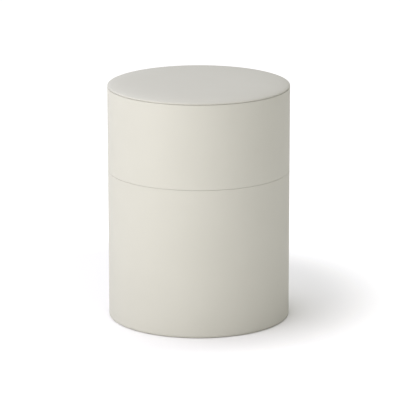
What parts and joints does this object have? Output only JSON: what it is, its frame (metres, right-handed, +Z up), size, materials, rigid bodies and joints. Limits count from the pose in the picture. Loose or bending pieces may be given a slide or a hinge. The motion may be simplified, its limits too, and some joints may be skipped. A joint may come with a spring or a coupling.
{
  "type": "storage tin",
  "caption": "Round flush-sided steel storage tin with a crowned lift-off lid that slides over a tinplate-lined neck, and a dished inner lid with a turned knob.",
  "frame": {"origin": "centre of the foot ring, on the surface that the tin stands on", "axes": "+Z up along the tin's axis; -Y is the side the picture shows; the side seams face +Y"},
  "size_m": [0.08, 0.08, 0.1058],
  "materials": {
    "satin_coat": "warm off-white satin coat on tinplate",
    "tinplate": "bare rolled tinplate, fine grain",
    "turned_steel": "turned steel, satin"
  },
  "bodies": {
    "body": {"body_wall": "satin_coat", "base_plate": "satin_coat", "inner_sleeve": "tinplate"},
    "inner_lid": {"inner_lid": "tinplate", "inner_lid_knob": "turned_steel", "knob_rivet": "turned_steel", "knob_washer": "turned_steel"},
    "lid": {"lid_wall": "satin_coat", "lid_top": "satin_coat"}
  },
  "joints": [
    {"name": "inner_lid_lift", "type": "slide", "parent": "body", "child": "inner_lid", "axis": [0, 0, 1], "range_m": [0, 0.05]},
    {"name": "lid_lift", "type": "slide", "parent": "inner_lid", "child": "lid", "axis": [0, 0, 1], "range_m": [0, 0.06]}
  ]
}
